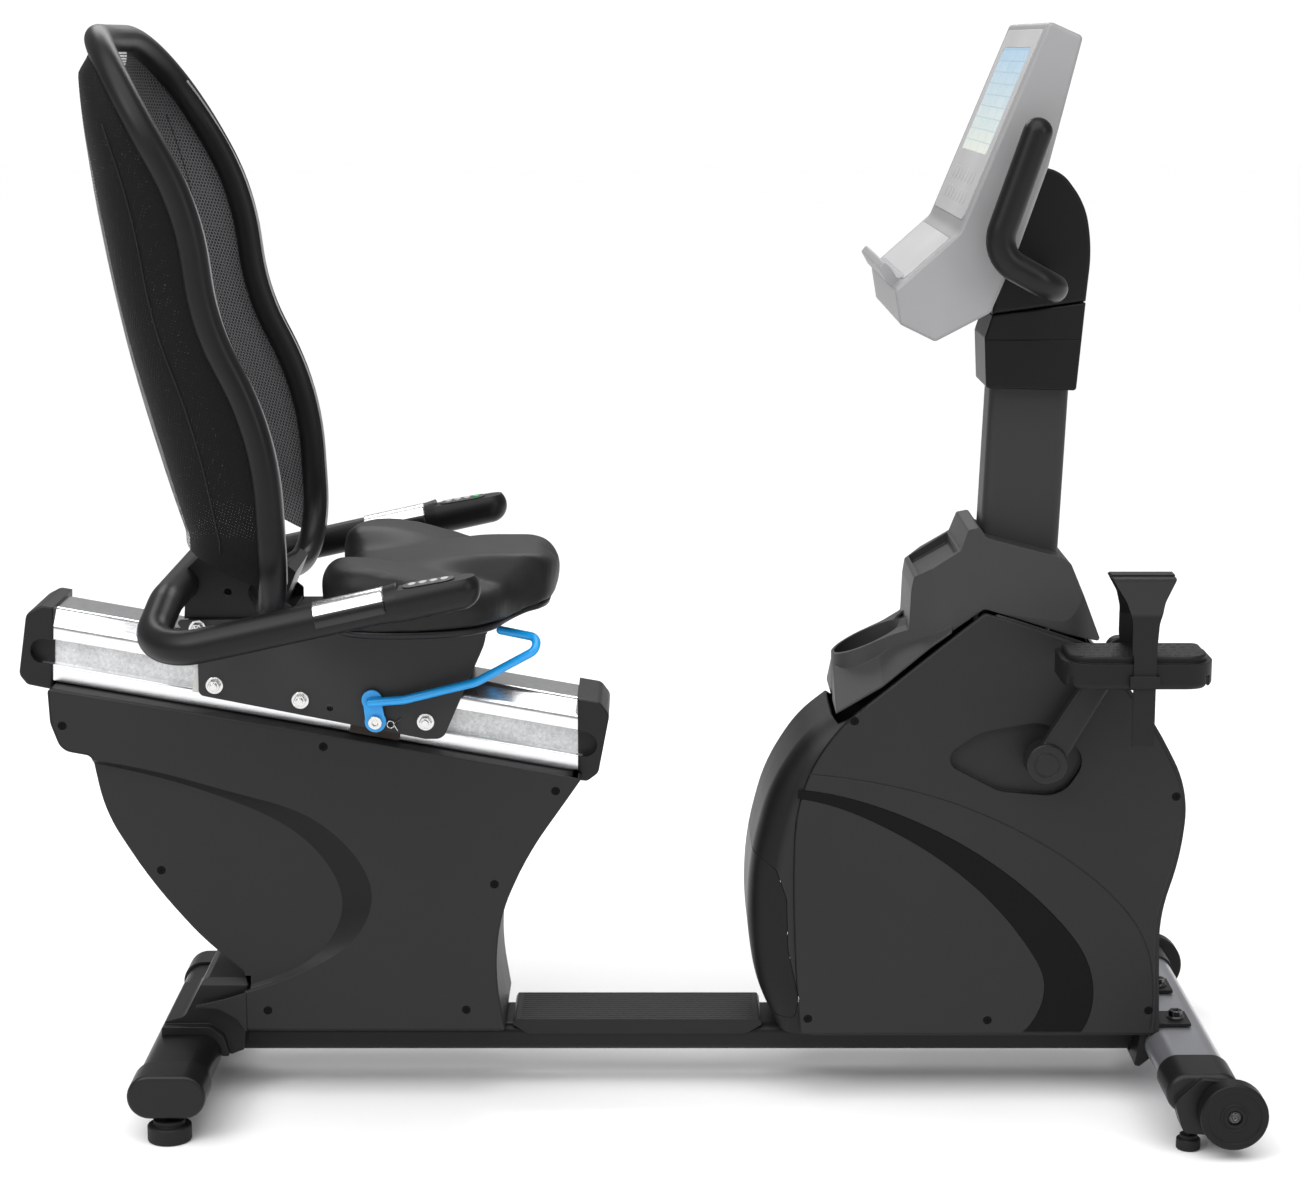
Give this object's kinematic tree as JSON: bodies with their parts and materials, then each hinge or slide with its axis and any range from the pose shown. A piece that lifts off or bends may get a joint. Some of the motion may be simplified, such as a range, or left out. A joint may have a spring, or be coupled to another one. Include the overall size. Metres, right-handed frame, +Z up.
{
  "type": "recumbent exercise bike",
  "caption": "Recumbent exercise bike with a sliding saddle seat and mesh backrest on an inclined rail, a belt-driven crank housing and a console mast.",
  "frame": {"origin": "on the floor, under the middle of the whole bike", "axes": "+X forward from the seat to the console, +Y to the rider's left, +Z up"},
  "size_m": [1.5582, 0.678, 1.37],
  "materials": {
    "frame_paint": "black satin powder coat",
    "silver_paint": "silver-grey metallic paint",
    "cover_plastic": "charcoal moulded plastic, fine texture",
    "top_plastic": "lighter charcoal moulded plastic, fine texture",
    "inlay_plastic": "near-black satin inlay",
    "cap_plastic": "black moulded plastic",
    "foot_rubber": "black rubber",
    "wheel_rubber": "black polyurethane",
    "rail_metal": "anodised extrusion",
    "mast_paint": "charcoal powder coat",
    "neck_plastic": "near-black moulded plastic",
    "console_plastic": "light grey moulded plastic",
    "console_front": "pale grey satin panel",
    "screen_glass": "pale display window",
    "grip_foam": "black dipped grip",
    "bolt_black": "black oxide",
    "bolt_zinc": "bright zinc plate",
    "screw_black": "black oxide",
    "lever_paint": "bright blue powder coat",
    "seat_skin": "black moulded seat skin",
    "back_fabric": "black spacer mesh",
    "contact_steel": "brushed stainless plate",
    "keypad_film": "grey membrane with pale keys",
    "crank_paint": "charcoal cast crank finish",
    "pedal_plastic": "black moulded pedal",
    "strap_rubber": "black ribbed strap",
    "axle_steel": "ground steel",
    "belt_rubber": "ribbed belt",
    "pulley_plastic": "glass-filled nylon",
    "stator_iron": "stator stack and windings",
    "magnet_ring": "machined flywheel ring",
    "board_green": "circuit board",
    "battery_case": "battery case",
    "glide_nylon": "natural nylon",
    "shoe_lining": "friction lining"
  },
  "bodies": {
    "frame": {"access_covers": "neck_plastic", "base_spine": "frame_paint", "battery": "battery_case", "console_fascia": "console_front", "console_housing": "console_plastic", "console_screen": "screen_glass", "controller_board": "board_green", "crank_bearings": "axle_steel", "crank_frame": "frame_paint", "drive_belt": "belt_rubber", "drive_shroud_left": "cover_plastic", "drive_shroud_right": "cover_plastic", "drive_top_cover": "top_plastic", "frame_bolts": "bolt_black", "front_bracket": "frame_paint", "front_end_caps": "cap_plastic", "front_stabiliser": "silver_paint", "generator": "stator_iron", "handlebar": "grip_foam", "inlay_panels": "inlay_plastic", "mast_tube": "mast_paint", "neck_cover": "neck_plastic", "rail_end_caps": "cap_plastic", "rear_bracket_cover": "cap_plastic", "rear_end_caps": "cap_plastic", "rear_shroud_left": "cover_plastic", "rear_shroud_right": "cover_plastic", "rear_stabiliser": "frame_paint", "seat_frame": "frame_paint", "seat_rail": "rail_metal", "shroud_screws": "screw_black", "step_plate": "cap_plastic"},
    "crankset": {"crank_axle": "axle_steel", "drive_pulley": "pulley_plastic", "crank_arms": "crank_paint", "pedal_spindles": "axle_steel"},
    "right_pedal": {"pedal_right": "pedal_plastic", "pedal_strap_right": "strap_rubber"},
    "left_pedal": {"pedal_left": "pedal_plastic", "pedal_strap_left": "strap_rubber"},
    "rotor": {"generator_rotor": "magnet_ring"},
    "idler": {"idler_pulley": "pulley_plastic"},
    "right_wheel": {"wheel_right": "wheel_rubber"},
    "left_wheel": {"wheel_left": "wheel_rubber"},
    "rear_right_foot": {"rear_foot_right": "foot_rubber"},
    "rear_left_foot": {"rear_foot_left": "foot_rubber"},
    "front_right_foot": {"front_foot_right": "foot_rubber"},
    "front_left_foot": {"front_foot_left": "foot_rubber"},
    "carriage": {"carriage_frame": "mast_paint", "carriage_glides": "glide_nylon", "carriage_bolts": "bolt_zinc", "seat_cushion": "seat_skin", "back_bracket": "frame_paint", "backrest_frame": "grip_foam", "backrest_mesh": "back_fabric", "seat_handlebar": "grip_foam", "pulse_contacts": "contact_steel", "pod_keypads": "keypad_film"},
    "lever": {"seat_lever": "lever_paint"},
    "shoe": {"brake_shoe": "shoe_lining"}
  },
  "joints": [
    {"name": "crank_spin", "type": "hinge", "parent": "frame", "child": "crankset", "pos_m": [0.52, 0, 0.459], "axis": [0, 1, 0], "continuous": true},
    {"name": "pedal_right_spin", "type": "hinge", "parent": "crankset", "child": "right_pedal", "pos_m": [0.60654, -0.2, 0.60533], "axis": [0, 1, 0], "continuous": true},
    {"name": "pedal_left_spin", "type": "hinge", "parent": "crankset", "child": "left_pedal", "pos_m": [0.43346, 0.2, 0.31267], "axis": [0, 1, 0], "continuous": true},
    {"name": "generator_spin", "type": "hinge", "parent": "frame", "child": "rotor", "pos_m": [0.33, 0, 0.26], "axis": [0, 1, 0], "continuous": true},
    {"name": "idler_spin", "type": "hinge", "parent": "frame", "child": "idler", "pos_m": [0.458, 0.067, 0.294], "axis": [0, 1, 0], "continuous": true},
    {"name": "wheel_right_spin", "type": "hinge", "parent": "frame", "child": "right_wheel", "pos_m": [0.737, -0.297, 0.057], "axis": [0, 1, 0], "continuous": true},
    {"name": "wheel_left_spin", "type": "hinge", "parent": "frame", "child": "left_wheel", "pos_m": [0.737, 0.297, 0.057], "axis": [0, 1, 0], "continuous": true},
    {"name": "rear_right_foot_turn", "type": "hinge", "parent": "frame", "child": "rear_right_foot", "pos_m": [-0.577, -0.232, 0.02], "axis": [0, 0, 1], "continuous": true},
    {"name": "rear_left_foot_turn", "type": "hinge", "parent": "frame", "child": "rear_left_foot", "pos_m": [-0.577, 0.232, 0.02], "axis": [0, 0, 1], "continuous": true},
    {"name": "front_right_foot_turn", "type": "hinge", "parent": "frame", "child": "front_right_foot", "pos_m": [0.69, -0.262, 0.02], "axis": [0, 0, 1], "continuous": true},
    {"name": "front_left_foot_turn", "type": "hinge", "parent": "frame", "child": "front_left_foot", "pos_m": [0.69, 0.262, 0.02], "axis": [0, 0, 1], "continuous": true},
    {"name": "seat_slide", "type": "slide", "parent": "frame", "child": "carriage", "axis": [0.9845, 0, -0.1754], "range_m": [-0.165, 0.155]},
    {"name": "lever_press", "type": "hinge", "parent": "carriage", "child": "lever", "pos_m": [-0.325, 0, 0.501], "axis": [0, 1, 0], "range_deg": [0, 10], "stiffness_Nm_per_rad": 1, "springref_deg": -40.11},
    {"name": "shoe_release", "type": "slide", "parent": "carriage", "child": "shoe", "axis": [0, -1, 0], "range_m": [0, 0.0025]}
  ],
  "couplings": [
    {"joint": "generator_spin", "follows": "crank_spin", "ratio": 6.4706},
    {"joint": "idler_spin", "follows": "crank_spin", "ratio": -5.5},
    {"joint": "shoe_release", "follows": "lever_press", "m_per_rad": 0.014323}
  ]
}
